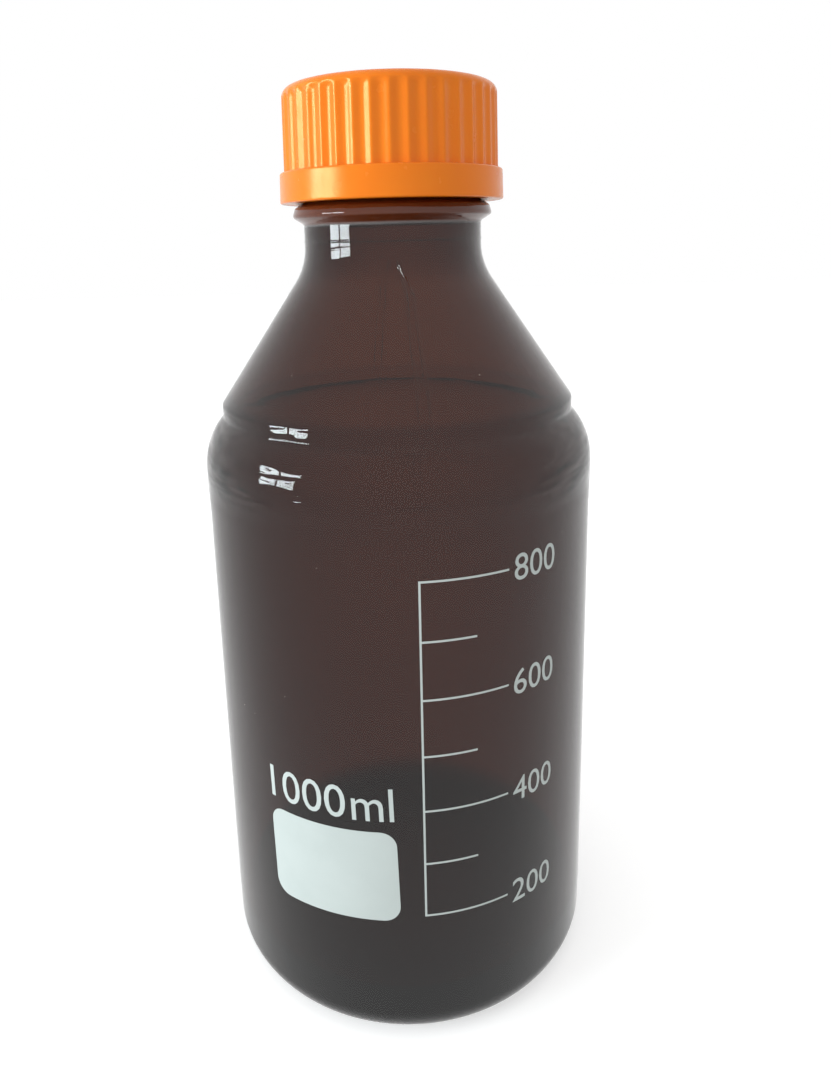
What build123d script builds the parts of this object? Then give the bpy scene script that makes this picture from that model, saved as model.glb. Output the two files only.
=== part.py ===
"""Round one-litre laboratory bottle with a 45 mm screw neck, pouring ring and lined screw cap.

Millimetres, +Z up. The origin is the centre of the base, on the plane the bottle stands on.
The glass and the cap are bodies of revolution about Z, and both carry a right-hand thread.
"""
import os
from math import cos, radians, sqrt, tan

from build123d import *

os.makedirs("parts", exist_ok=True)

# ---------------------------------------------------------------- driving dimensions

# Glass bottle, outside
body_diameter = 101.0
bottle_height = 225.0            # base to glass lip
heel_radius = 9.0                # rounded foot of the body
standing_ring_width = 4.5        # flat ring that the bottle stands on
push_up_depth = 4.0              # dome under the base
shoulder_radius = 20.0           # rounded top of the body, up to the step ring
step_inset = 5.1                 # the step ring is this much smaller in radius than the body
step_height = 3.3                # straight side of the step ring
step_rounding = 1.5
cone_half_angle = 34.2           # shoulder cone, measured from the axis
neck_fillet = 16.0               # hollow curve from the cone into the neck
neck_length = 10.05              # from the cone's corner with the neck up to the collar

# Screw neck, 45 mm finish
thread_diameter = 45.0
thread_pitch = 4.0
thread_depth = 1.4
thread_turns = 2.0
thread_root_width = 2.4
thread_crest_width = 1.0
thread_margin = 2.7              # from a thread's end, at its centre, to the plain glass

# Collar and neck, as steps out from the thread's root
neck_step = 1.25
collar_step = 4.0
collar_underside = 1.7           # height of the collar's slanted underside
collar_rim = 2.1                 # height of its nearly straight rim
collar_rim_draft = 0.6
collar_slope = 2.4               # height of the slope from the rim in to the thread
collar_rounding = 0.9

# Lip above the thread, which carries the pouring ring
lip_setback = 1.1                # in from the thread's root
lip_land = 7.0                   # height of the plain glass
lip_rounding = 0.8
lip_bead = 0.4                   # the ring snaps over this bead
lip_bead_height = 1.6
lip_bead_drop = 4.6              # from the lip down to the bead's middle

# Glass walls
body_wall = 3.1
base_thickness = 5.7             # at the centre of the base
base_edge_thickness = 8.0        # over the standing ring
inner_heel_radius = 8.0
cone_wall = 2.4                  # the blown shoulder is thinner than the body
neck_wall = 3.0
lip_wall = 5.0                   # the mouth is 30 mm wide
mouth_length = 12.0              # straight bore below the lip
mouth_taper = 10.0               # bore widening below it
inner_shoulder_corner = 7.1      # corner of the inside's rounding, above the start of the outside's
inner_shoulder_radius = 14.0
inner_step_lead = 1.1            # the inside is in under the step ring this far below it
inner_rounding = 3.0

# Pouring ring
ring_wall = 1.15
ring_top_thickness = 1.4
ring_skirt = 6.4                 # how far it reaches down over the lip
ring_clearance = 0.05            # snap fit on the lip
ring_bore_step = 0.4             # its bore is this much wider than the mouth, in radius
ring_seal_width = 2.6            # flat land that the liner presses on
ring_pour_drop = 0.9             # inner edge below the land

# Liner in the cap
liner_thickness = 2.0
liner_overhang = 1.0             # beyond the ring, in radius
liner_clearance = 0.3            # to the cap's recess, in radius
liner_rounding = 0.3

# Screw cap
cap_top_thickness = 2.0
cap_base_gap = 1.2               # above the collar's rim when the cap is closed
cap_wall = 3.5                   # from the thread's root out to the ribs
cap_wall_draft = 0.3             # the ribbed part is this much smaller at its top
cap_top_rounding = 2.2
cap_flange_step = 1.3            # the smooth flange beyond the ribs
cap_flange_draft = 0.2
cap_flange_height = 7.3
cap_flange_rounding = 0.6
cap_thread_clearance = 0.6       # radial, at crest and root
cap_thread_turns = 2.0
cap_thread_root_width = 2.6
cap_thread_crest_width = 1.2
cap_lead_in = 1.0                # bevel at the cap's open edge
cap_shelf = 3.0                  # height of the recess's wall below the liner
retaining_bead = 0.6             # holds the liner up in the cap
retaining_bead_height = 0.8
retaining_bead_gap = 0.2

# Grip flutes round the cap
flute_count = 40
flute_radius = 2.4
flute_depth = 0.65
flute_top_margin = 2.0           # plain band above the flutes

thread_sink = 0.4                # how far a thread's root is buried in its wall

# ---------------------------------------------------------------- radii and levels

body_r = body_diameter / 2
step_r = body_r - step_inset
thread_crest_r = thread_diameter / 2
thread_root_r = thread_crest_r - thread_depth
neck_r = thread_root_r + neck_step
collar_r = thread_root_r + collar_step
lip_r = thread_root_r - lip_setback
mouth_r = lip_r - lip_wall

inner_body_r = body_r - body_wall
inner_step_r = step_r - body_wall
inner_neck_r = neck_r - neck_wall

lip_base_z = bottle_height - lip_land
thread_length = thread_pitch * thread_turns
collar_top_z = lip_base_z - thread_length - 2 * thread_margin
collar_rim_top_z = collar_top_z - collar_slope
collar_rim_z = collar_rim_top_z - collar_rim
collar_z = collar_rim_z - collar_underside
thread_z = collar_top_z + thread_margin

# The cone's inside is parallel to its outside, one cone wall away.
cone_slope = tan(radians(cone_half_angle))
cone_wall_r = cone_wall / cos(radians(cone_half_angle))
cone_top_z = collar_z - neck_length
cone_base_z = cone_top_z - (step_r - neck_r) / cone_slope
inner_cone_base_z = cone_base_z + (body_wall - cone_wall_r) / cone_slope
inner_cone_top_z = cone_base_z + (step_r - cone_wall_r - inner_neck_r) / cone_slope

# The shoulder's arc meets the step ring where it has come in to the ring's radius.
step_z = cone_base_z - step_height
shoulder_rise = sqrt(shoulder_radius**2 - (shoulder_radius - step_inset) ** 2)
shoulder_z = step_z - shoulder_rise

ring_r = lip_r + ring_clearance + ring_wall
ring_land_z = bottle_height + ring_top_thickness
lip_bead_z = bottle_height - lip_bead_drop

liner_r = ring_r + liner_overhang
liner_top_z = ring_land_z + liner_thickness

cap_top_z = liner_top_z + cap_top_thickness
cap_base_z = collar_rim_top_z + cap_base_gap
cap_flange_z = cap_base_z + cap_flange_height
cap_root_r = thread_crest_r + cap_thread_clearance
cap_crest_r = thread_root_r + cap_thread_clearance
cap_rib_r = cap_root_r + cap_wall
cap_flange_r = cap_rib_r + cap_flange_step
cap_recess_r = liner_r + liner_clearance
cap_bead_z = ring_land_z - retaining_bead_gap


def thread_section(root_r, crest_r, root_width, crest_width, buried_r):
    """Corners of a thread's trapezoid at its start, with its root buried in the wall."""
    return [
        (buried_r, thread_z - root_width / 2),
        (root_r, thread_z - root_width / 2),
        (crest_r, thread_z - crest_width / 2),
        (crest_r, thread_z + crest_width / 2),
        (root_r, thread_z + root_width / 2),
        (buried_r, thread_z + root_width / 2),
    ]


# ---------------------------------------------------------------- bottle

heel_x = body_r - heel_radius
foot_x = heel_x - standing_ring_width
inner_heel_x = inner_body_r - inner_heel_radius
floor_z = push_up_depth + base_thickness
mouth_base_z = bottle_height - mouth_length

glass_outline = [
    (step_r, step_z),
    (step_r, cone_base_z),
    (neck_r, cone_top_z),
    (neck_r, collar_z),
    (collar_r, collar_rim_z),
    (collar_r - collar_rim_draft, collar_rim_top_z),
    (thread_root_r, collar_top_z),
    (thread_root_r, lip_base_z),
    (lip_r, lip_base_z),
    (lip_r, bottle_height),
    (mouth_r, bottle_height),
]
glass_roundings = [
    step_rounding,
    neck_fillet,
    collar_rounding,
    collar_rounding,
    collar_rounding,
    collar_rounding,
    lip_rounding / 2,
    lip_rounding / 2,
    lip_rounding,
]
cavity_outline = [
    (inner_body_r, base_edge_thickness + inner_heel_radius),
    (inner_body_r, shoulder_z + inner_shoulder_corner),
    (inner_step_r, step_z - inner_step_lead),
    (inner_step_r, inner_cone_base_z),
    (inner_neck_r, inner_cone_top_z),
    (inner_neck_r, mouth_base_z - mouth_taper),
    (mouth_r, mouth_base_z),
    (mouth_r, bottle_height - lip_rounding),
]
cavity_roundings = [
    inner_shoulder_radius,
    inner_rounding,
    inner_rounding,
    neck_fillet,
    inner_rounding,
    inner_rounding,
]

with BuildPart() as bottle:
    with BuildSketch(Plane.XZ):
        with BuildLine():
            RadiusArc((0, push_up_depth), (foot_x, 0), (foot_x**2 + push_up_depth**2) / (2 * push_up_depth))
            Line((foot_x, 0), (heel_x, 0))
            RadiusArc((heel_x, 0), (body_r, heel_radius), -heel_radius)
            Line((body_r, heel_radius), (body_r, shoulder_z))
            RadiusArc((body_r, shoulder_z), (step_r, step_z), -shoulder_radius)
            FilletPolyline(*glass_outline, radius=glass_roundings)
            Line((mouth_r, bottle_height), (0, bottle_height))
            Line((0, bottle_height), (0, push_up_depth))
        make_face()
    revolve(axis=Axis.Z)

    # bead that holds the pouring ring
    with BuildSketch(Plane.XZ):
        with Locations((lip_r, lip_bead_z)):
            Ellipse(lip_bead, lip_bead_height / 2)
    revolve(axis=Axis.Z)

    # inside of the bottle, open through the mouth
    with BuildSketch(Plane.XZ):
        with BuildLine():
            floor = Line((0, floor_z), (inner_heel_x, base_edge_thickness))
            RadiusArc(floor @ 1, cavity_outline[0], -inner_heel_radius)
            FilletPolyline(*cavity_outline, radius=cavity_roundings)
            RadiusArc(cavity_outline[-1], (mouth_r + lip_rounding, bottle_height), lip_rounding)
            Line((mouth_r + lip_rounding, bottle_height), (0, bottle_height))
            Line((0, bottle_height), (0, floor_z))
        make_face()
    revolve(axis=Axis.Z, mode=Mode.SUBTRACT)

    # thread
    with BuildLine() as glass_helix:
        Helix(pitch=thread_pitch, height=thread_length, radius=thread_root_r, center=(0, 0, thread_z))
    with BuildSketch(Plane.XZ):
        with BuildLine():
            Polyline(
                *thread_section(
                    thread_root_r,
                    thread_crest_r,
                    thread_root_width,
                    thread_crest_width,
                    thread_root_r - thread_sink,
                ),
                close=True,
            )
        make_face()
    sweep(path=glass_helix.line, is_frenet=True)

bottle.part.label = "bottle"
export_step(bottle.part, "parts/bottle.step")

# ---------------------------------------------------------------- pouring ring

ring_bore_r = mouth_r + ring_bore_step
ring_skirt_r = lip_r + ring_clearance

with BuildPart() as pouring_ring:
    with BuildSketch(Plane.XZ):
        with BuildLine():
            Polyline(
                (ring_skirt_r, bottle_height - ring_skirt),
                (ring_r, bottle_height - ring_skirt),
                (ring_r, ring_land_z),
                (ring_r - ring_seal_width, ring_land_z),
                (ring_bore_r, ring_land_z - ring_pour_drop),
                (ring_bore_r, bottle_height),
                (ring_skirt_r, bottle_height),
                close=True,
            )
        make_face()
    revolve(axis=Axis.Z)

    # groove for the lip's bead
    with BuildSketch(Plane.XZ):
        with Locations((lip_r, lip_bead_z)):
            Ellipse(lip_bead + ring_clearance, lip_bead_height / 2 + ring_clearance)
    revolve(axis=Axis.Z, mode=Mode.SUBTRACT)

pouring_ring.part.label = "pouring_ring"
export_step(pouring_ring.part, "parts/pouring_ring.step")

# ---------------------------------------------------------------- liner

with BuildPart() as cap_liner:
    with BuildSketch(Plane.XY.offset(ring_land_z)):
        Circle(liner_r)
    extrude(amount=liner_thickness)
    fillet(cap_liner.edges(), radius=liner_rounding)

cap_liner.part.label = "cap_liner"
export_step(cap_liner.part, "parts/cap_liner.step")

# ---------------------------------------------------------------- screw cap

half_turn_line = Plane(origin=(0, 0, 0), x_dir=(-1, 0, 0), z_dir=(0, 0, 1))
half_turn_section = Plane(origin=(0, 0, 0), x_dir=(-1, 0, 0), z_dir=(0, 1, 0))

cap_outside = [
    (0, cap_top_z),
    (cap_rib_r - cap_wall_draft, cap_top_z),
    (cap_rib_r, cap_flange_z),
    (cap_flange_r - cap_flange_draft, cap_flange_z),
    (cap_flange_r, cap_base_z),
    (cap_root_r + cap_lead_in, cap_base_z),
]
cap_outside_roundings = [
    cap_top_rounding,
    cap_flange_rounding,
    cap_flange_rounding,
    cap_flange_rounding,
]
cap_inside = [
    (cap_root_r + cap_lead_in, cap_base_z),
    (cap_root_r, cap_base_z + cap_lead_in),
    (cap_root_r, cap_bead_z - cap_shelf),
    (cap_recess_r, cap_bead_z - cap_shelf + (cap_root_r - cap_recess_r)),
    (cap_recess_r, cap_bead_z - retaining_bead_height),
    (cap_recess_r - retaining_bead, cap_bead_z - retaining_bead_height / 2),
    (cap_recess_r, cap_bead_z),
    (cap_recess_r, liner_top_z),
    (0, liner_top_z),
    (0, cap_top_z),
]

with BuildPart() as screw_cap:
    with BuildSketch(Plane.XZ):
        with BuildLine():
            FilletPolyline(*cap_outside, radius=cap_outside_roundings)
            Polyline(*cap_inside)
        make_face()
    revolve(axis=Axis.Z)

    # grip flutes, from the flange up to the plain band
    with BuildSketch(Plane.XY.offset(cap_flange_z)):
        with PolarLocations(cap_rib_r - flute_depth + flute_radius, flute_count):
            Circle(flute_radius)
    extrude(amount=cap_top_z - flute_top_margin - cap_flange_z, mode=Mode.SUBTRACT)

    # thread, half a turn round from the glass one, so that it lies between its turns
    with BuildLine(half_turn_line) as cap_helix:
        Helix(
            pitch=thread_pitch,
            height=thread_pitch * cap_thread_turns,
            radius=cap_root_r,
            center=(0, 0, thread_z),
        )
    with BuildSketch(half_turn_section):
        with BuildLine():
            Polyline(
                *thread_section(
                    cap_root_r,
                    cap_crest_r,
                    cap_thread_root_width,
                    cap_thread_crest_width,
                    cap_root_r + thread_sink,
                ),
                close=True,
            )
        make_face()
    sweep(path=cap_helix.line, is_frenet=True)

screw_cap.part.label = "screw_cap"
export_step(screw_cap.part, "parts/screw_cap.step")
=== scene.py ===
"""Looks of a round one-litre laboratory bottle: amber glass, white print, orange fluted cap.

Metres, +Z up, the origin at the centre of the base, and the print faces -Y.
Turned pieces are drawn as half outlines in millimetres and spun by a Geometry Nodes tree.
"""
from math import atan2, cos, degrees, hypot, pi, radians, sin, tan

import bmesh
import bpy
from mathutils import Matrix, Vector


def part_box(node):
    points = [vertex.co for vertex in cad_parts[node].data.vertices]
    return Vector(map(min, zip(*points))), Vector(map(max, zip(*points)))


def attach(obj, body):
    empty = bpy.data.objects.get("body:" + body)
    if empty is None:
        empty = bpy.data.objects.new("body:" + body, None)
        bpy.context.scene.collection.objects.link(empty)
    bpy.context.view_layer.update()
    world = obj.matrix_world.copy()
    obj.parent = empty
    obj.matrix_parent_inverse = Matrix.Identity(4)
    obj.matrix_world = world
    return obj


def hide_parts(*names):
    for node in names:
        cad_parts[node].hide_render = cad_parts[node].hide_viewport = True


MM = 0.001

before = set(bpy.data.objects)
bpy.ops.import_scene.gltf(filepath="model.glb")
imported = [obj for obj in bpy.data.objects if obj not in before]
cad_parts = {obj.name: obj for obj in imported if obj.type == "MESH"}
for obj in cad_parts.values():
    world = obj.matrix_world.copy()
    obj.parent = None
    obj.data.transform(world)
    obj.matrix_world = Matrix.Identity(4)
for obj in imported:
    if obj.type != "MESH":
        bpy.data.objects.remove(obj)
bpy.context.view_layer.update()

# ---------------------------------------------------------------- sizes, in millimetres

body_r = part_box("bottle")[1].x / MM
lip_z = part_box("bottle")[1].z / MM
cap_top_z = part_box("screw_cap")[1].z / MM
cap_base_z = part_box("screw_cap")[0].z / MM
ring_land_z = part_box("cap_liner")[0].z / MM
liner_top_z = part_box("cap_liner")[1].z / MM
liner_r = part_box("cap_liner")[1].x / MM

# glass outside
foot_x = 37.0
heel_radius = 8.0
heel_x = 50.1                    # the foot's corner before it is rounded
push_up = 4.0
waist_r = body_r - 0.2           # the straight body, inside the fuller band at the shoulder
shoulder_z = 137.8
shoulder_corner_z = 145.44       # where the shoulder's tangents meet
step_r = 45.4
step_z = 151.15
cone_base_z = 154.45
cone_top_z = 188.35
neck_r = 22.35
mould_ring_z = 194.2             # parting line of the neck's mould
collar_z = 198.4
collar_r = 25.1
collar_rim_z = 200.1
collar_rim_top_z = 202.2
collar_top_z = 204.6
thread_root_r = 21.1
thread_base_z = 207.3
thread_pitch = 4.0
thread_turns = 2.0
thread_depth = 1.4
lip_base_z = 218.0
lip_r = 20.0
lip_bead_z = 220.4
lip_bead = 0.4
mouth_r = 15.0

# glass inside
wall = 3.1
cone_wall = 2.4
floor_z = 9.7
floor_edge_z = 8.0
inner_neck_r = 19.35
mouth_base_z = 213.0
mouth_taper = 10.0

# cap
cap_flange_z = cap_base_z + 7.3
cap_flange_r = 27.9
cap_rib_r = 26.6
cap_wall_draft = 0.3
cap_root_r = 23.1
cap_recess_r = 22.5
cap_thread_depth = 1.4
cap_dish_r = 21.5                # the top's shallow dish
cap_dish = 0.3
flute_count = 40
flute_depth = 0.65
flute_sharpness = 0.7            # under 1 widens the flutes and narrows the ribs between them

# print on the glass: along the surface to the right of the front, and height
scale_x = 3.75
scale_marks = {200: 36.9, 400: 65.3, 600: 93.7, 800: 122.1}
half_marks = (51.2, 79.5, 107.9)
mark_end_x = 24.95
half_mark_end_x = 16.75
line_width = 0.5
number_x = 26.5
number_width = 13.1
number_height = 6.4
volume_x = -35.8
volume_z = 62.4
volume_height = 8.6
volume_digits_width = 21.5
one_gap = -0.2                   # closes the wide space after the figure 1, in letter heights
unit_x = -12.8
unit_width = 10.0
field_corners = ((-36.4, 35.2), (-2.5, 59.5))
field_radius = 4.0
left_group_turn = 1.5            # degrees
ink_gap = 0.02
ink_thickness = 0.045
ink_slice = 0.8                  # the artwork is cut this finely before it is bent round

# sides that the turned pieces are cut into
bottle_sides = 240
cap_sides = 480
ring_sides = 192

# ---------------------------------------------------------------- outlines


def rounded(corners, arc_step=6.0, spacing=9.0, lead=0.7):
    """Points of a line through (x, z, radius, finest spacing) corners, with arcs at them.

    Long straight runs get a point close to each end, so that smooth shading stays flat
    along them, and further points no more than their spacing apart.
    """
    ends = []
    arcs = []
    for i, corner in enumerate(corners):
        here = Vector(corner[:2])
        radius = corner[2] if len(corner) > 2 else 0.0
        if i in (0, len(corners) - 1) or radius == 0.0:
            ends.append((here, here))
            arcs.append([here])
            continue
        before = (Vector(corners[i - 1][:2]) - here).normalized()
        after = (Vector(corners[i + 1][:2]) - here).normalized()
        turn = pi - before.angle(after)
        reach = radius * tan(turn / 2)
        start = here + before * reach
        stop = here + after * reach
        centre = here + (before + after).normalized() * (radius / cos(turn / 2))
        first = atan2(start.y - centre.y, start.x - centre.x)
        last = atan2(stop.y - centre.y, stop.x - centre.x)
        sweep = (last - first + pi) % (2 * pi) - pi
        steps = max(2, round(abs(degrees(sweep)) / arc_step))
        arc = []
        for k in range(steps + 1):
            angle = first + sweep * k / steps
            arc.append(centre + Vector((cos(angle), sin(angle))) * radius)
        ends.append((start, stop))
        arcs.append(arc)
    points = []
    for i, arc in enumerate(arcs):
        points += arc
        if i == len(arcs) - 1:
            break
        run_start = ends[i][1]
        run_end = ends[i + 1][0]
        run = run_end - run_start
        finest = corners[i][3] if len(corners[i]) > 3 else spacing
        if run.length > 3 * lead:
            inner_start = run_start + run.normalized() * lead
            inner_end = run_end - run.normalized() * lead
            steps = max(1, round((inner_end - inner_start).length / finest))
            for k in range(steps + 1):
                points.append(inner_start.lerp(inner_end, k / steps))
    return [(p.x, p.y) for p in points]


def domed_base():
    """Underside of the glass from the axis out to the ring it stands on."""
    steps = 9
    return [(foot_x * k / steps, push_up * (1 - (k / steps) ** 2)) for k in range(steps)]


def glass_outline():
    slope = (step_r - neck_r) / (cone_top_z - cone_base_z)
    across = cone_wall * hypot(1.0, slope)
    inner_cone_base_z = cone_base_z + (wall - across) / slope
    inner_cone_top_z = cone_base_z + (step_r - across - inner_neck_r) / slope
    outside = rounded([
        (foot_x, 0.0, 0.8),
        (heel_x, 0.0, heel_radius),
        (waist_r, 17.0, 60.0),
        (waist_r, 126.0, 150.0),
        (body_r, 134.0, 90.0),
        (body_r, shoulder_corner_z, 18.0),
        (step_r, step_z, 1.0),
        (step_r, cone_base_z, 1.0),
        (neck_r, cone_top_z, 16.0),
        (neck_r, mould_ring_z - 0.35, 0.2),
        (neck_r + 0.14, mould_ring_z - 0.1, 0.1),
        (neck_r + 0.14, mould_ring_z + 0.1, 0.1),
        (neck_r, mould_ring_z + 0.35, 0.2),
        (neck_r, collar_z, 0.9),
        (collar_r, collar_rim_z, 0.9),
        (collar_r - 0.6, collar_rim_top_z, 0.9),
        (thread_root_r, collar_top_z, 0.9, 0.2),
        (thread_root_r, lip_base_z, 0.35),
        (lip_r, lip_base_z, 0.35),
        (lip_r, lip_bead_z - 0.8, 0.3),
        (lip_r + lip_bead, lip_bead_z - 0.3, 0.3),
        (lip_r + lip_bead, lip_bead_z + 0.3, 0.3),
        (lip_r, lip_bead_z + 0.8, 0.3),
        (lip_r, lip_z, 0.8),
        (mouth_r, lip_z, 0.8),
        (mouth_r, mouth_base_z, 3.0),
        (inner_neck_r, mouth_base_z - mouth_taper, 3.0),
        (inner_neck_r, inner_cone_top_z, 16.0),
        (step_r - wall, inner_cone_base_z, 6.0),
        (step_r - wall, step_z - 1.1, 3.0),
        (body_r - wall, shoulder_z + 7.1, 14.0),
        (body_r - wall, floor_edge_z, 8.0),
        (0.0, floor_z),
    ])
    return domed_base() + outside


def cap_outline():
    bead_z = ring_land_z - 0.2
    return rounded([
        (0.0, cap_top_z - cap_dish),
        (cap_dish_r, cap_top_z - cap_dish, 0.5),
        (cap_dish_r + 0.8, cap_top_z, 0.5),
        (cap_rib_r - cap_wall_draft, cap_top_z, 2.2, 0.9),
        (cap_rib_r, cap_flange_z, 0.15),
        (cap_flange_r - 0.2, cap_flange_z, 0.5),
        (cap_flange_r, cap_base_z, 0.5),
        (cap_root_r + 1.0, cap_base_z, 0.3),
        (cap_root_r, cap_base_z + 1.0, 0.3, 0.3),
        (cap_root_r, bead_z - 3.0, 0.3),
        (cap_recess_r, bead_z - 2.4, 0.3),
        (cap_recess_r, bead_z - 0.8, 0.2),
        (cap_recess_r - 0.6, bead_z - 0.4, 0.15),
        (cap_recess_r, bead_z, 0.2),
        (cap_recess_r, liner_top_z, 0.3),
        (0.0, liner_top_z),
    ], arc_step=10.0)


def ring_outline():
    bore_r = mouth_r + 0.4
    skirt_r = lip_r + 0.05
    outer_r = skirt_r + 1.15
    groove = lip_bead + 0.05
    return rounded([
        (skirt_r, lip_z - 6.0, 0.0),
        (skirt_r, lip_bead_z - 0.85, 0.2),
        (skirt_r + groove, lip_bead_z - 0.35, 0.2),
        (skirt_r + groove, lip_bead_z + 0.35, 0.2),
        (skirt_r, lip_bead_z + 0.85, 0.2),
        (skirt_r, lip_z, 0.2),
        (bore_r, lip_z, 0.15),
        (bore_r, ring_land_z - 0.9, 0.2),
        (outer_r - 2.6, ring_land_z, 0.4),
        (outer_r, ring_land_z, 0.25),
        (outer_r, lip_z - 6.4, 0.3),
        (skirt_r, lip_z - 6.4, 0.2),
        (skirt_r, lip_z - 6.0, 0.0),
    ])


def liner_outline():
    return rounded([
        (0.0, liner_top_z),
        (liner_r, liner_top_z, 0.3),
        (liner_r, ring_land_z, 0.3),
        (0.0, ring_land_z),
    ])


# ---------------------------------------------------------------- geometry nodes


class Nodes:
    """Short ways to add and join nodes in one tree."""

    def __init__(self, tree):
        self.tree = tree

    def add(self, kind, inputs=None, **settings):
        node = self.tree.nodes.new(kind)
        for name, value in settings.items():
            setattr(node, name, value)
        for key, value in (inputs or {}).items():
            self.put(node.inputs[key], value)
        return node

    def put(self, socket, value):
        if isinstance(value, bpy.types.NodeSocket):
            self.tree.links.new(value, socket)
        else:
            socket.default_value = value

    def math(self, operation, *values, clamp=False):
        node = self.add("ShaderNodeMath", operation=operation, use_clamp=clamp)
        for i, value in enumerate(values):
            self.put(node.inputs[i], value)
        return node.outputs[0]


def tree_with(name, inputs, outputs):
    """A geometry node group with typed, named sockets, and its input and output nodes."""
    tree = bpy.data.node_groups.new(name, "GeometryNodeTree")
    for label, kind in outputs:
        tree.interface.new_socket(label, in_out="OUTPUT", socket_type=kind)
    for label, kind, default in inputs:
        socket = tree.interface.new_socket(label, in_out="INPUT", socket_type=kind)
        if default is not None:
            socket.default_value = default
    nodes = Nodes(tree)
    return nodes, nodes.add("NodeGroupInput").outputs, nodes.add("NodeGroupOutput").inputs


def thread_height_tree():
    """How far a helical thread stands out at an angle and a height, with run-out ends."""
    nodes, given, result = tree_with(
        "thread height",
        [
            ("Angle", "NodeSocketFloat", 0.0),
            ("Height", "NodeSocketFloat", 0.0),
            ("Start", "NodeSocketFloat", 0.2),
            ("Pitch", "NodeSocketFloat", 0.004),
            ("Turns", "NodeSocketFloat", 2.0),
            ("Phase", "NodeSocketFloat", 0.0),
            ("Depth", "NodeSocketFloat", 0.0014),
            ("Foot Half", "NodeSocketFloat", 0.0013),
            ("Crest Half", "NodeSocketFloat", 0.0005),
            ("Run Out", "NodeSocketFloat", 0.06),
        ],
        [("Out", "NodeSocketFloat")],
    )
    turn = nodes.math("DIVIDE", given["Angle"], 2 * pi)
    turn = nodes.math("FRACT", nodes.math("SUBTRACT", turn, given["Phase"]))
    climb = nodes.math("SUBTRACT", given["Height"], given["Start"])
    rise = nodes.math("DIVIDE", climb, given["Pitch"])
    nearest = nodes.math("ROUND", nodes.math("SUBTRACT", rise, turn))
    along = nodes.math("ADD", nearest, turn)
    aside = nodes.math("ABSOLUTE", nodes.math("SUBTRACT", rise, along))
    aside = nodes.math("MULTIPLY", aside, given["Pitch"])
    flank = nodes.math("SUBTRACT", given["Foot Half"], aside)
    flank = nodes.math(
        "DIVIDE", flank, nodes.math("SUBTRACT", given["Foot Half"], given["Crest Half"]), clamp=True
    )
    first_end = nodes.math("DIVIDE", along, given["Run Out"], clamp=True)
    left_over = nodes.math("SUBTRACT", given["Turns"], along)
    last_end = nodes.math("DIVIDE", left_over, given["Run Out"], clamp=True)
    ends = nodes.math("SMOOTH_MIN", first_end, last_end, 0.1)
    soft = nodes.add("ShaderNodeMapRange", {"Value": flank}, interpolation_type="SMOOTHSTEP")
    height = nodes.math("MULTIPLY", soft.outputs[0], given["Depth"])
    nodes.put(result["Out"], nodes.math("MULTIPLY", height, ends))
    return nodes.tree


def flute_depth_tree():
    """How deep the grip flutes are at an angle and a height."""
    nodes, given, result = tree_with(
        "flute depth",
        [
            ("Angle", "NodeSocketFloat", 0.0),
            ("Height", "NodeSocketFloat", 0.0),
            ("Count", "NodeSocketFloat", 40.0),
            ("Turn", "NodeSocketFloat", 0.0),
            ("Sharpness", "NodeSocketFloat", 0.7),
            ("Depth", "NodeSocketFloat", 0.0006),
            ("Bottom", "NodeSocketFloat", 0.2),
            ("Top", "NodeSocketFloat", 0.22),
            ("Fade", "NodeSocketFloat", 0.001),
        ],
        [("In", "NodeSocketFloat")],
    )
    turned = nodes.math("SUBTRACT", given["Angle"], given["Turn"])
    wave = nodes.math("COSINE", nodes.math("MULTIPLY", turned, given["Count"]))
    bowl = nodes.math("POWER", nodes.math("MULTIPLY_ADD", wave, -0.5, 0.5), given["Sharpness"])
    over = nodes.math("DIVIDE", nodes.math("SUBTRACT", given["Top"], given["Height"]), given["Fade"])
    over = nodes.add("ShaderNodeMapRange", {"Value": over}, interpolation_type="SMOOTHSTEP")
    above = nodes.math("GREATER_THAN", given["Height"], given["Bottom"])
    depth = nodes.math("MULTIPLY", nodes.math("MULTIPLY", bowl, given["Depth"]), over.outputs[0])
    nodes.put(result["In"], nodes.math("MULTIPLY", depth, above))
    return nodes.tree


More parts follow.
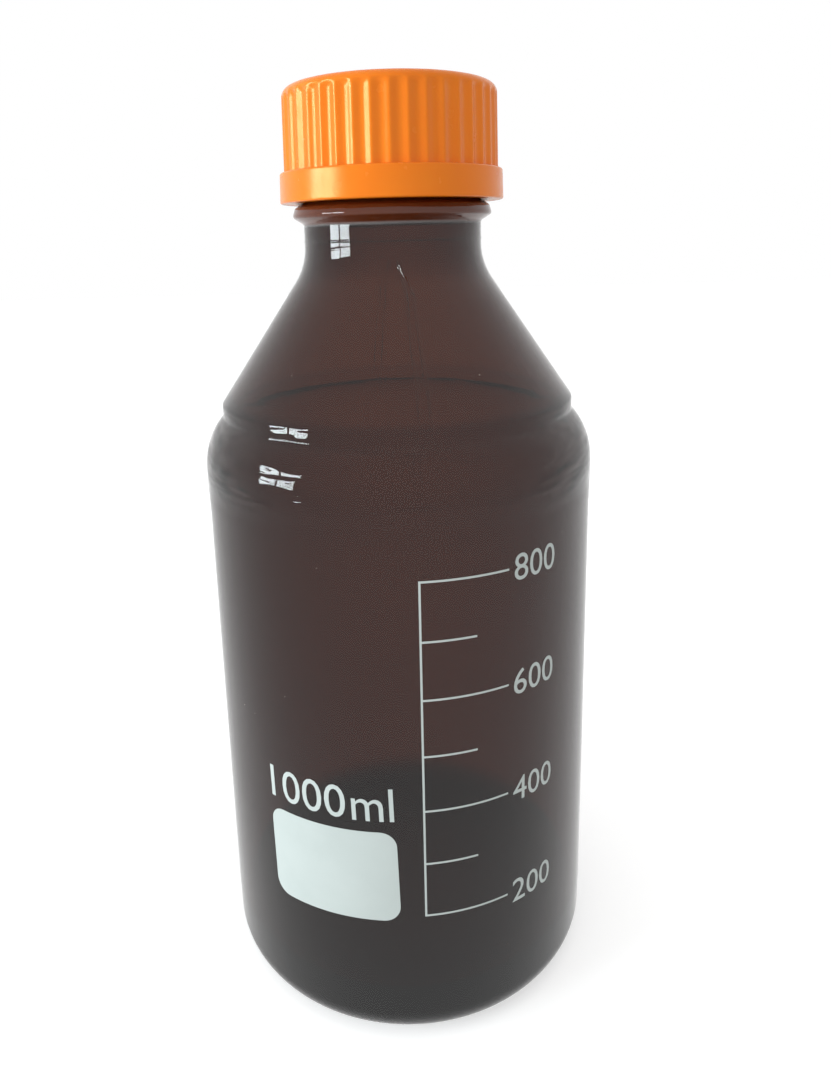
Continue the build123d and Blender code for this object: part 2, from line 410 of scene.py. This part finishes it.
def spun_tree(name, thread=None, flutes=None):
    """Spins the outline it is given round Z, with a thread and flutes where they are asked for.

    thread and flutes are node groups; the tree then takes their sizes as inputs of its own.
    """
    inputs = [
        ("Outline", "NodeSocketGeometry", None),
        ("Points", "NodeSocketInt", 10),
        ("Sides", "NodeSocketInt", 64),
        ("Material", "NodeSocketMaterial", None),
        ("Wall Middle", "NodeSocketFloat", 0.0),
    ]
    extra = {"Thread": thread, "Flutes": flutes}
    for label, group in extra.items():
        if group is None:
            continue
        for item in group.interface.items_tree:
            if item.in_out == "INPUT" and item.name not in ("Angle", "Height"):
                inputs.append((f"{label} {item.name}", item.socket_type, item.default_value))
    nodes, given, result = tree_with(name, inputs, [("Geometry", "NodeSocketGeometry")])

    columns = nodes.math("ADD", given["Sides"], 1.0)
    grid = nodes.add("GeometryNodeMeshGrid", {"Vertices X": given["Points"], "Vertices Y": columns})
    index = nodes.add("GeometryNodeInputIndex").outputs[0]
    row = nodes.math("FLOOR", nodes.math("DIVIDE", nodes.math("ADD", index, 0.5), columns))
    column = nodes.math("SUBTRACT", index, nodes.math("MULTIPLY", row, columns))
    angle = nodes.math("MULTIPLY", nodes.math("DIVIDE", column, given["Sides"]), 2 * pi)

    place = nodes.add(
        "GeometryNodeSampleIndex",
        {"Geometry": given["Outline"], "Index": row},
        data_type="FLOAT_VECTOR",
        domain="POINT",
    )
    position = nodes.add("GeometryNodeInputPosition").outputs[0]
    nodes.put(place.inputs["Value"], position)
    parts = nodes.add("ShaderNodeSeparateXYZ", {"Vector": place.outputs["Value"]}).outputs
    radius = parts["X"]

    for label, group in extra.items():
        if group is None:
            continue
        feature = nodes.add("GeometryNodeGroup", node_tree=group)
        nodes.put(feature.inputs["Angle"], angle)
        nodes.put(feature.inputs["Height"], parts["Z"])
        for item in group.interface.items_tree:
            if item.in_out == "INPUT" and item.name not in ("Angle", "Height"):
                nodes.put(feature.inputs[item.name], given[f"{label} {item.name}"])
        outer = nodes.math("GREATER_THAN", parts["X"], given["Wall Middle"])
        if label == "Flutes":
            cut = nodes.math("MULTIPLY", feature.outputs[0], outer)
            radius = nodes.math("SUBTRACT", radius, cut)
        elif flutes is None:
            stand = nodes.math("MULTIPLY", feature.outputs[0], outer)
            radius = nodes.math("ADD", radius, stand)
        else:
            inner = nodes.math("SUBTRACT", 1.0, outer)
            stand = nodes.math("MULTIPLY", feature.outputs[0], inner)
            radius = nodes.math("SUBTRACT", radius, stand)

    spoke = nodes.add("ShaderNodeCombineXYZ", {"X": radius, "Z": parts["Z"]}).outputs[0]
    turned = nodes.add("ShaderNodeVectorRotate", rotation_type="Z_AXIS")
    nodes.put(turned.inputs["Vector"], spoke)
    nodes.put(turned.inputs["Angle"], angle)
    placed = nodes.add("GeometryNodeSetPosition", {"Geometry": grid.outputs["Mesh"]})
    nodes.put(placed.inputs["Position"], turned.outputs[0])
    closed = nodes.add("GeometryNodeMergeByDistance", {"Geometry": placed.outputs[0], "Distance": 0.2e-5})
    smooth = nodes.add("GeometryNodeSetShadeSmooth", {"Geometry": closed.outputs[0]})
    real = nodes.add("GeometryNodeRealizeInstances", {"Geometry": smooth.outputs[0]})
    finish = nodes.add("GeometryNodeSetMaterial", {"Geometry": real.outputs[0]})
    nodes.put(finish.inputs["Material"], given["Material"])
    nodes.put(result["Geometry"], finish.outputs[0])
    return nodes.tree


def speck_tree():
    """Scatters small grains over the outer glass, between two heights."""
    nodes, given, result = tree_with(
        "dust",
        [
            ("Surface", "NodeSocketGeometry", None),
            ("Density", "NodeSocketFloat", 900.0),
            ("Seed", "NodeSocketInt", 4),
            ("Smallest", "NodeSocketFloat", 0.00004),
            ("Largest", "NodeSocketFloat", 0.0001),
            ("Lowest", "NodeSocketFloat", 0.01),
            ("Highest", "NodeSocketFloat", 0.19),
            ("Band Bottom", "NodeSocketFloat", 0.12),
            ("Band Top", "NodeSocketFloat", 0.15),
            ("Material", "NodeSocketMaterial", None),
        ],
        [("Geometry", "NodeSocketGeometry")],
    )
    position = nodes.add("GeometryNodeInputPosition").outputs[0]
    normal = nodes.add("GeometryNodeInputNormal").outputs[0]
    flat = nodes.add("ShaderNodeVectorMath", {0: position, 1: (1, 1, 0)}, operation="MULTIPLY")
    outward = nodes.add("ShaderNodeVectorMath", {0: flat.outputs[0], 1: normal}, operation="DOT_PRODUCT")
    height = nodes.add("ShaderNodeSeparateXYZ", {"Vector": position}).outputs["Z"]
    wanted = nodes.math("GREATER_THAN", outward.outputs["Value"], 0.0)
    wanted = nodes.math("MULTIPLY", wanted, nodes.math("GREATER_THAN", height, given["Lowest"]))
    wanted = nodes.math("MULTIPLY", wanted, nodes.math("LESS_THAN", height, given["Highest"]))
    in_band = nodes.math("GREATER_THAN", height, given["Band Bottom"])
    in_band = nodes.math("MULTIPLY", in_band, nodes.math("LESS_THAN", height, given["Band Top"]))
    wanted = nodes.math("MULTIPLY", wanted, nodes.math("SUBTRACT", 1.0, in_band))
    points = nodes.add(
        "GeometryNodeDistributePointsOnFaces",
        {"Mesh": given["Surface"], "Selection": wanted, "Density": given["Density"], "Seed": given["Seed"]},
    )
    grain = nodes.add("GeometryNodeMeshIcoSphere", {"Radius": 1.0, "Subdivisions": 1})
    size = nodes.add("FunctionNodeRandomValue", {"Seed": given["Seed"]}, data_type="FLOAT")
    nodes.put(size.inputs[2], given["Smallest"])
    nodes.put(size.inputs[3], given["Largest"])
    spread = nodes.add("GeometryNodeInstanceOnPoints", {"Points": points.outputs["Points"]})
    nodes.put(spread.inputs["Instance"], grain.outputs["Mesh"])
    nodes.put(spread.inputs["Scale"], size.outputs[1])
    real = nodes.add("GeometryNodeRealizeInstances", {"Geometry": spread.outputs[0]})
    finish = nodes.add("GeometryNodeSetMaterial", {"Geometry": real.outputs[0]})
    nodes.put(finish.inputs["Material"], given["Material"])
    nodes.put(result["Geometry"], finish.outputs[0])
    return nodes.tree


def set_inputs(modifier, values):
    """Sets a modifier's inputs by the identifiers of their sockets."""
    for item in modifier.node_group.interface.items_tree:
        if item.in_out == "INPUT" and item.name in values:
            modifier[item.identifier] = values[item.name]


def mesh_object(name, mesh):
    piece = bpy.data.objects.new(name, mesh)
    bpy.context.scene.collection.objects.link(piece)
    return piece


def plain_mesh(piece, name):
    """The object's evaluated shape as a plain mesh of its own, facing outwards."""
    shape = bpy.data.meshes.new_from_object(piece.evaluated_get(bpy.context.evaluated_depsgraph_get()))
    old = piece.data
    piece.modifiers.clear()
    piece.data = shape
    shape.name = name
    bpy.data.meshes.remove(old)
    face_outwards(shape)
    return piece


def face_outwards(mesh):
    work = bmesh.new()
    work.from_mesh(mesh)
    bmesh.ops.dissolve_degenerate(work, edges=work.edges, dist=1e-7)
    if work.calc_volume(signed=True) < 0:
        bmesh.ops.reverse_faces(work, faces=work.faces)
    work.to_mesh(mesh)
    work.free()


def spun_piece(name, outline, sides, material, tree, sizes=None):
    """A plain mesh turned from a half outline, joined up at the axis and at the seam."""
    line = bpy.data.meshes.new(name + "_outline")
    corners = [(x * MM, 0.0, z * MM) for x, z in outline]
    line.from_pydata(corners, [(i, i + 1) for i in range(len(corners) - 1)], [])
    piece = mesh_object(name, line)
    modifier = piece.modifiers.new("spin", "NODES")
    modifier.node_group = tree
    set_inputs(modifier, {"Points": len(corners), "Sides": sides, "Material": material, **(sizes or {})})
    return plain_mesh(piece, name)


# ---------------------------------------------------------------- materials


def new_material(name):
    material = bpy.data.materials.new(name)
    material.use_nodes = True
    nodes = Nodes(material.node_tree)
    shader = material.node_tree.nodes["Principled BSDF"]
    output = material.node_tree.nodes["Material Output"]
    return material, nodes, shader, output


def object_point(nodes, scale=(1.0, 1.0, 1.0)):
    """The place on the piece, stretched along each axis."""
    place = nodes.add("ShaderNodeTexCoord").outputs["Object"]
    return nodes.add("ShaderNodeMapping", {"Vector": place, "Scale": scale}).outputs[0]


def noise(nodes, scale, detail=2.0, stretch=(1.0, 1.0, 1.0), roughness=0.5):
    texture = nodes.add("ShaderNodeTexNoise", {"Vector": object_point(nodes, stretch)})
    texture.inputs["Scale"].default_value = scale
    texture.inputs["Detail"].default_value = detail
    texture.inputs["Roughness"].default_value = roughness
    return texture.outputs["Fac"]


def between(nodes, value, low, high, to_low, to_high, smooth=False):
    kind = "SMOOTHSTEP" if smooth else "LINEAR"
    ends = {"Value": value, "From Min": low, "From Max": high, "To Min": to_low, "To Max": to_high}
    return nodes.add("ShaderNodeMapRange", ends, interpolation_type=kind).outputs[0]


def bump(nodes, shader, height, strength=1.0):
    """Turns a height in metres into the surface's fine shape."""
    relief = nodes.add("ShaderNodeBump", {"Height": height, "Strength": strength, "Distance": 1.0})
    nodes.put(shader.inputs["Normal"], relief.outputs[0])


def fade_in(nodes, z, start, end):
    return between(nodes, z, start, end, 0.0, 1.0, smooth=True)


def fade_out(nodes, z, start, end):
    return between(nodes, z, start, end, 1.0, 0.0, smooth=True)


# mould lines: degrees round the bottle, and how high they stand in metres
seam_place = 7.2
seam_shift_up = 4.9
seam_shift_down = 3.0
seam_sway = 1.2
seam_half_gap = 1.7
seam_close_up = 1.3
seam_close_down = 0.8
seam_line_width = 0.8
seam_line_height = 0.00016

# glass: how its colour soaks in, and how high its waves stand in metres
glass_ior = 1.473
glass_tint = (0.488, 0.213, 0.0, 1.0)
glass_density = 1100.0
# painted glow: the thick collar glass is painted brown and made less clear, standing in for the orange
# cap's light reflected into it
collar_painted_glow = (0.25, 0.05, 0.012, 1.0)
collar_glow_cover = 0.42              # the part of the collar's glass painted plain brown, a painted glow
wave_height = 0.00022
ripple_height = 0.000012
streak_height = 0.00009
wrinkle_height = 0.0009


def seam_height(nodes):
    """Two thin wavy lines that the halves of the mould left down the cone and the shoulder."""
    parts = nodes.add("ShaderNodeSeparateXYZ", {"Vector": object_point(nodes)}).outputs
    angle = nodes.math("ARCTAN2", parts["X"], nodes.math("MULTIPLY", parts["Y"], -1.0))
    angle = nodes.math("DEGREES", angle)
    folded = nodes.math("SUBTRACT", nodes.math("WRAP", nodes.math("ADD", angle, 90.0), 180.0, 0.0), 90.0)
    upper = fade_in(nodes, parts["Z"], 0.181, 0.1895)
    lower = fade_in(nodes, parts["Z"], 0.157, 0.146)
    sway = nodes.math("MULTIPLY", noise(nodes, 60.0, 2.0), seam_sway)
    middle = nodes.math("SUBTRACT", seam_place, nodes.math("MULTIPLY", upper, seam_shift_up))
    middle = nodes.math("SUBTRACT", middle, nodes.math("MULTIPLY", lower, seam_shift_down))
    middle = nodes.math("ADD", middle, sway)
    half = nodes.math("SUBTRACT", seam_half_gap, nodes.math("MULTIPLY", upper, seam_close_up))
    half = nodes.math("SUBTRACT", half, nodes.math("MULTIPLY", lower, seam_close_down))
    aside = nodes.math("ABSOLUTE", nodes.math("SUBTRACT", folded, middle))
    aside = nodes.math("ABSOLUTE", nodes.math("SUBTRACT", aside, half))
    line = fade_out(nodes, aside, 0.0, seam_line_width)
    above = fade_in(nodes, parts["Z"], 0.140, 0.147)
    below = fade_out(nodes, parts["Z"], 0.1885, 0.191)
    line = nodes.math("MULTIPLY", nodes.math("MULTIPLY", line, above), below)
    return nodes.math("MULTIPLY", line, seam_line_height)


def amber_glass():
    """Brown glass, tinted by its depth, with blown waviness, neck streaks and mould lines."""
    material, nodes, shader, output = new_material("amber_glass")
    shader.inputs["IOR"].default_value = glass_ior
    z = nodes.add("ShaderNodeSeparateXYZ", {"Vector": object_point(nodes)}).outputs["Z"]
    # painted glow on the collar: brown colour and less see-through glass in place of the cap's reflected
    # orange light
    in_collar_glow = nodes.math(
        "MULTIPLY",
        fade_in(nodes, z, 0.1975, 0.1987),
        fade_out(nodes, z, 0.2046, 0.2054),
    )
    clear = nodes.math("MULTIPLY_ADD", in_collar_glow, -collar_glow_cover, 1.0)
    nodes.put(shader.inputs["Transmission Weight"], clear)
    tint = nodes.add("ShaderNodeMix", {"Factor": in_collar_glow}, data_type="RGBA")
    tint.inputs["A"].default_value = (1.0, 1.0, 1.0, 1.0)
    tint.inputs["B"].default_value = collar_painted_glow
    nodes.put(shader.inputs["Base Color"], tint.outputs["Result"])
    smudges = noise(nodes, 45.0, 4.0)
    nodes.put(shader.inputs["Roughness"], between(nodes, smudges, 0.35, 0.75, 0.004, 0.035))
    soak = nodes.add("ShaderNodeVolumeAbsorption")
    soak.inputs["Color"].default_value = glass_tint
    soak.inputs["Density"].default_value = glass_density
    nodes.put(output.inputs["Volume"], soak.outputs[0])

    height = nodes.math("MULTIPLY", noise(nodes, 22.0, 1.0), wave_height)
    ripple = nodes.math("MULTIPLY", noise(nodes, 110.0, 1.0, (1.0, 1.0, 0.7)), ripple_height)
    height = nodes.math("ADD", height, ripple)
    on_neck = fade_in(nodes, z, 0.186, 0.192)
    streaks = nodes.math("MULTIPLY", noise(nodes, 60.0, 2.0, (1.0, 1.0, 8.0)), streak_height)
    height = nodes.math("ADD", height, nodes.math("MULTIPLY", streaks, on_neck))
    on_shoulder = nodes.math(
        "MULTIPLY",
        fade_in(nodes, z, 0.132, 0.139),
        fade_out(nodes, z, 0.150, 0.158),
    )
    wrinkles = nodes.math("MULTIPLY", noise(nodes, 45.0, 2.0, (1.0, 1.0, 5.0)), wrinkle_height)
    height = nodes.math("ADD", height, nodes.math("MULTIPLY", wrinkles, on_shoulder))
    height = nodes.math("ADD", height, seam_height(nodes))
    bump(nodes, shader, height)
    return material


def moulded_plastic(name, colour, darker, roughness, grain, grain_height):
    """A moulded plastic with slight clouds in its colour and gloss, and a fine skin."""
    material, nodes, shader, output = new_material(name)
    clouds = noise(nodes, 70.0, 4.0)
    cloudy = between(nodes, clouds, 0.3, 0.7, 0.0, 1.0)
    blend = nodes.add("ShaderNodeMix", {"Factor": cloudy}, data_type="RGBA")
    blend.inputs["A"].default_value = (*darker, 1.0)
    blend.inputs["B"].default_value = (*colour, 1.0)
    nodes.put(shader.inputs["Base Color"], blend.outputs["Result"])
    gloss = noise(nodes, 260.0, 3.0)
    rougher = between(nodes, gloss, 0.3, 0.7, roughness * 0.85, roughness * 1.2)
    nodes.put(shader.inputs["Roughness"], rougher)
    skin = nodes.math("MULTIPLY", noise(nodes, grain, 2.0), grain_height)
    bump(nodes, shader, skin)
    return material


def cap_plastic():
    material = moulded_plastic(
        "cap_plastic", (0.95, 0.22, 0.009), (0.93, 0.2, 0.008), 0.23, 900.0, 0.000006
    )
    shader = material.node_tree.nodes["Principled BSDF"]
    shader.inputs["IOR"].default_value = 1.49
    shader.inputs["Specular Tint"].default_value = (0.92, 0.95, 0.45, 1.0)
    shader.inputs["Subsurface Weight"].default_value = 0.15
    shader.inputs["Subsurface Radius"].default_value = (0.0012, 0.0005, 0.0001)
    shader.inputs["Subsurface Scale"].default_value = 1.0
    return material


def ring_plastic():
    return moulded_plastic(
        "ring_plastic", (0.78, 0.77, 0.71), (0.73, 0.72, 0.66), 0.45, 700.0, 0.000005
    )


def liner_rubber():
    return moulded_plastic(
        "liner_rubber", (0.82, 0.81, 0.77), (0.77, 0.76, 0.72), 0.6, 1200.0, 0.000008
    )


def print_ink():
    """Fired white print: matt, a little uneven in thickness."""
    return moulded_plastic(
        "print_ink", (0.6, 0.66, 0.64), (0.56, 0.62, 0.6), 0.55, 1500.0, 0.000006
    )


def dust():
    return moulded_plastic("dust", (0.8, 0.74, 0.66), (0.6, 0.5, 0.4), 0.8, 3000.0, 0.000002)


# ---------------------------------------------------------------- print


def add_face(art, corners):
    """One flat face of artwork; x runs along the surface and z up, both in millimetres."""
    art.faces.new([art.verts.new((x, 0.0, z)) for x, z in corners])


def add_line(art, start, end, z):
    half = line_width / 2
    add_face(art, [(start, z - half), (end, z - half), (end, z + half), (start, z + half)])


def add_words(art, words, left, bottom, width, height, first_gap=0.0):
    """Flat letters, stretched to the width and height given."""
    curve = bpy.data.curves.new("words", "FONT")
    curve.body = words
    curve.body_format[0].kerning = first_gap
    curve.resolution_u = 4
    letters = bpy.data.objects.new("words", curve)
    bpy.context.scene.collection.objects.link(letters)
    shape = bpy.data.meshes.new_from_object(letters.evaluated_get(bpy.context.evaluated_depsgraph_get()))
    bpy.data.objects.remove(letters)
    bpy.data.curves.remove(curve)
    xs = [v.co.x for v in shape.vertices]
    ys = [v.co.y for v in shape.vertices]
    for vertex in shape.vertices:
        x = left + (vertex.co.x - min(xs)) / (max(xs) - min(xs)) * width
        z = bottom + (vertex.co.y - min(ys)) / (max(ys) - min(ys)) * height
        vertex.co = (x, 0.0, z)
    art.from_mesh(shape)
    bpy.data.meshes.remove(shape)


def add_field(art):
    """The rounded panel for writing on."""
    (left, bottom), (right, top) = field_corners
    centres = [
        (right - field_radius, top - field_radius, 0),
        (left + field_radius, top - field_radius, 90),
        (left + field_radius, bottom + field_radius, 180),
        (right - field_radius, bottom + field_radius, 270),
    ]
    corners = []
    for x, z, first in centres:
        for k in range(9):
            angle = radians(first + 90 * k / 8)
            corners.append((x + field_radius * cos(angle), z + field_radius * sin(angle)))
    add_face(art, corners)


def scale_art():
    art = bmesh.new()
    half = line_width / 2
    top = max(scale_marks.values()) + half
    bottom = min(scale_marks.values()) - half
    x = scale_x
    add_face(art, [(x - half, bottom), (x + half, bottom), (x + half, top), (x - half, top)])
    for volume, z in scale_marks.items():
        add_line(art, x + half, mark_end_x, z)
        add_words(art, str(volume), number_x, z - number_height / 2, number_width, number_height)
    for z in half_marks:
        add_line(art, x + half, half_mark_end_x, z)
    return art


def label_art():
    art = bmesh.new()
    add_words(art, "1000", volume_x, volume_z, volume_digits_width, volume_height, one_gap)
    add_words(art, "ml", unit_x, volume_z, unit_width, volume_height)
    add_field(art)
    (left, bottom), (right, top) = field_corners
    middle = Vector(((left + right) / 2, 0.0, (bottom + top) / 2))
    tilt = Matrix.Rotation(radians(-left_group_turn), 4, "Y")
    turn = Matrix.Translation(middle) @ tilt @ Matrix.Translation(-middle)
    bmesh.ops.transform(art, matrix=turn, verts=art.verts)
    return art


def wrapped(art, mesh, radius):
    """Bends flat artwork round the glass as a thin closed skin and adds it to the mesh."""
    xs = [v.co.x for v in art.verts]
    x = min(xs) + ink_slice
    while x < max(xs):
        everything = art.verts[:] + art.edges[:] + art.faces[:]
        bmesh.ops.bisect_plane(art, geom=everything, plane_co=(x, 0, 0), plane_no=(1, 0, 0))
        x += ink_slice
    bmesh.ops.triangulate(art, faces=art.faces)
    bmesh.ops.remove_doubles(art, verts=art.verts, dist=1e-4)
    everything = art.faces[:] + art.edges[:] + art.verts[:]
    skin = bmesh.ops.extrude_face_region(art, geom=everything, use_keep_orig=True)
    over = {v for v in skin["geom"] if isinstance(v, bmesh.types.BMVert)}
    for vertex in art.verts:
        lift = ink_gap + (ink_thickness if vertex in over else 0.0)
        angle = vertex.co.x / radius
        r = (radius + lift) * MM
        vertex.co = (r * sin(angle), -r * cos(angle), vertex.co.z * MM)
    bmesh.ops.recalc_face_normals(art, faces=art.faces)
    art.to_mesh(mesh)
    art.free()


# ---------------------------------------------------------------- pieces

thread_height = thread_height_tree()
flute_height = flute_depth_tree()

glass_spin = spun_tree("spun glass", thread=thread_height)
cap_spin = spun_tree("spun cap", thread=thread_height, flutes=flute_height)
plain_spin = spun_tree("spun ring")

bottle = spun_piece(
    "amber_bottle",
    glass_outline(),
    bottle_sides,
    amber_glass(),
    glass_spin,
    {
        "Wall Middle": (mouth_r + 3.0) * MM,
        "Thread Start": thread_base_z * MM,
        "Thread Pitch": thread_pitch * MM,
        "Thread Turns": thread_turns,
        "Thread Depth": thread_depth * MM,
        "Thread Foot Half": 1.3 * MM,
        "Thread Crest Half": 0.35 * MM,
    },
)
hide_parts("bottle")
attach(bottle, "glass")

cap = spun_piece(
    "fluted_cap",
    cap_outline(),
    cap_sides,
    cap_plastic(),
    cap_spin,
    {
        "Wall Middle": (cap_root_r + 1.8) * MM,
        "Thread Start": thread_base_z * MM,
        "Thread Pitch": thread_pitch * MM,
        "Thread Turns": thread_turns,
        "Thread Phase": 0.5,
        "Thread Depth": cap_thread_depth * MM,
        "Thread Foot Half": 1.3 * MM,
        "Thread Crest Half": 0.45 * MM,
        "Flutes Count": float(flute_count),
        "Flutes Sharpness": flute_sharpness,
        "Flutes Depth": flute_depth * MM,
        "Flutes Bottom": (cap_flange_z + 0.05) * MM,
        "Flutes Top": (cap_top_z - 1.5) * MM,
        "Flutes Fade": 1.3 * MM,
    },
)
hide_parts("screw_cap")
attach(cap, "cap")

ring = spun_piece("drip_ring", ring_outline(), ring_sides, ring_plastic(), plain_spin)
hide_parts("pouring_ring")
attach(ring, "glass")

liner = spun_piece("seal_disc", liner_outline(), ring_sides, liner_rubber(), plain_spin)
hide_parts("cap_liner")
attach(liner, "liner")

scale_mesh = bpy.data.meshes.new("volume_scale")
wrapped(scale_art(), scale_mesh, waist_r)
volume_scale = mesh_object("volume_scale", scale_mesh)
label_mesh = bpy.data.meshes.new("volume_label")
wrapped(label_art(), label_mesh, waist_r)
volume_label = mesh_object("volume_label", label_mesh)
ink = print_ink()
for piece in (volume_scale, volume_label):
    piece.data.materials.append(ink)
    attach(piece, "glass")

specks = mesh_object("dust_specks", bottle.data.copy())
scatter = specks.modifiers.new("scatter", "NODES")
scatter.node_group = speck_tree()
set_inputs(scatter, {
    "Density": 900.0,
    "Seed": 4,
    "Smallest": 0.04 * MM,
    "Largest": 0.11 * MM,
    "Lowest": 12.0 * MM,
    "Highest": mould_ring_z * MM,
    "Band Bottom": 126.0 * MM,
    "Band Top": 147.0 * MM,
    "Material": dust(),
})
plain_mesh(specks, "dust_specks")
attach(specks, "glass")

# ---------------------------------------------------------------- floor, world and lights

photo_width = 831
photo_height = 1080

white = 1.0                      # strength at which the background is white
sky_light = 0.6                  # how much light the sky gives
floor_glow = 0.55                # lifts the floor to white for the camera, and leaves its shadow
floor_half = 3.0                 # metres
aim_z = 0.16                     # the lamps face this height, in metres
lamp_distance = 1.3
window_azimuths = (62.5, 78.0)
window_elevations = (1.5, 11.5)
pane_width = 0.31
pane_height = 0.19
pane_radiance = 17.0
pane_colour = (0.88, 0.97, 1.0)
ceiling_size = 1.4
ceiling_radiance = 0.45
ceiling_colour = (1.0, 0.97, 0.92)


def shown_or_lit(nodes, shown, lit):
    """One strength where the background is seen, mirrored or seen through glass, another as light."""
    rays = nodes.add("ShaderNodeLightPath").outputs
    seen = nodes.math("MAXIMUM", rays["Is Camera Ray"], rays["Is Transmission Ray"])
    seen = nodes.math("MAXIMUM", seen, rays["Is Glossy Ray"])
    unseen = nodes.math("SUBTRACT", 1.0, seen)
    return nodes.math("ADD", nodes.math("MULTIPLY", seen, shown), nodes.math("MULTIPLY", unseen, lit))


def floor_and_world():
    world = bpy.data.worlds.new("studio")
    bpy.context.scene.world = world
    world.use_nodes = True
    tree = world.node_tree
    tree.nodes.clear()
    nodes = Nodes(tree)
    sky = nodes.add("ShaderNodeBackground", {"Color": (1.0, 1.0, 1.0, 1.0)})
    nodes.put(sky.inputs["Strength"], shown_or_lit(nodes, white, sky_light))
    nodes.put(nodes.add("ShaderNodeOutputWorld").inputs["Surface"], sky.outputs[0])

    mesh = bpy.data.meshes.new("floor")
    half = floor_half
    corners = [(-half, -half, 0), (half, -half, 0), (half, half, 0), (-half, half, 0)]
    mesh.from_pydata(corners, [], [(0, 1, 2, 3)])
    floor = mesh_object("floor", mesh)
    material, nodes, shader, output = new_material("pale_floor")
    shader.inputs["Base Color"].default_value = (0.85, 0.85, 0.85, 1.0)
    shader.inputs["Roughness"].default_value = 0.9
    rays = nodes.add("ShaderNodeLightPath").outputs
    glow = nodes.add("ShaderNodeEmission", {"Color": (1, 1, 1, 1)})
    nodes.put(glow.inputs["Strength"], nodes.math("MULTIPLY", rays["Is Camera Ray"], floor_glow))
    lit = nodes.add("ShaderNodeAddShader")
    nodes.put(lit.inputs[0], shader.outputs[0])
    nodes.put(lit.inputs[1], glow.outputs[0])
    shown = nodes.add("ShaderNodeEmission", {"Color": (1, 1, 1, 1), "Strength": white})
    pick = nodes.add("ShaderNodeMixShader")
    nodes.put(pick.inputs[0], nodes.math("MAXIMUM", rays["Is Glossy Ray"], rays["Is Transmission Ray"]))
    nodes.put(pick.inputs[1], lit.outputs[0])
    nodes.put(pick.inputs[2], shown.outputs[0])
    nodes.put(output.inputs["Surface"], pick.outputs[0])
    mesh.materials.append(material)


def area_light(name, azimuth, elevation, distance, width, height, radiance, colour=(1, 1, 1)):
    """A soft panel that faces the bottle's middle; azimuth 0 is the camera's side, left is positive."""
    lamp = bpy.data.lights.new(name, "AREA")
    lamp.shape = "RECTANGLE"
    lamp.size = width
    lamp.size_y = height
    lamp.energy = radiance * pi * width * height
    lamp.color = colour
    holder = bpy.data.objects.new(name, lamp)
    bpy.context.scene.collection.objects.link(holder)
    a = radians(azimuth)
    e = radians(elevation)
    away = Vector((-sin(a) * cos(e), -cos(a) * cos(e), sin(e)))
    holder.location = Vector((0, 0, aim_z)) + away * distance
    holder.rotation_euler = away.to_track_quat("Z", "Y").to_euler()
    return holder


def camera():
    """The viewing point: close, level with the neck, looking down and a little turned."""
    distance = 218.07 * MM
    height = 194.44 * MM
    pitch = radians(13.08)
    roll = radians(-1.50)
    focal_pixels = 834.09
    centre_x = 397.94
    centre_y = 432.54
    data = bpy.data.cameras.new("camera")
    data.sensor_width = 36.0
    data.lens = focal_pixels * 36.0 / photo_height
    data.shift_x = (photo_width / 2 - centre_x) / photo_height
    data.shift_y = (centre_y - photo_height / 2) / photo_height
    data.clip_start = 0.01
    holder = bpy.data.objects.new("camera", data)
    bpy.context.scene.collection.objects.link(holder)
    tilt = Matrix.Rotation(pi / 2 - pitch, 4, "X")
    holder.matrix_world = Matrix.Translation((0, -distance, height)) @ tilt @ Matrix.Rotation(roll, 4, "Z")
    bpy.context.scene.camera = holder


floor_and_world()
for column, azimuth in enumerate(window_azimuths):
    for row, elevation in enumerate(window_elevations):
        name = f"window_{column}_{row}"
        pane = area_light(
            name, azimuth, elevation, lamp_distance, pane_width, pane_height, pane_radiance, pane_colour
        )
        pane.visible_transmission = False
ceiling = area_light(
    "ceiling", 60, 70, lamp_distance, ceiling_size, ceiling_size, ceiling_radiance, ceiling_colour
)
ceiling.visible_glossy = False
camera()

view_settings = bpy.context.scene.view_settings
view_settings.view_transform = "Standard"
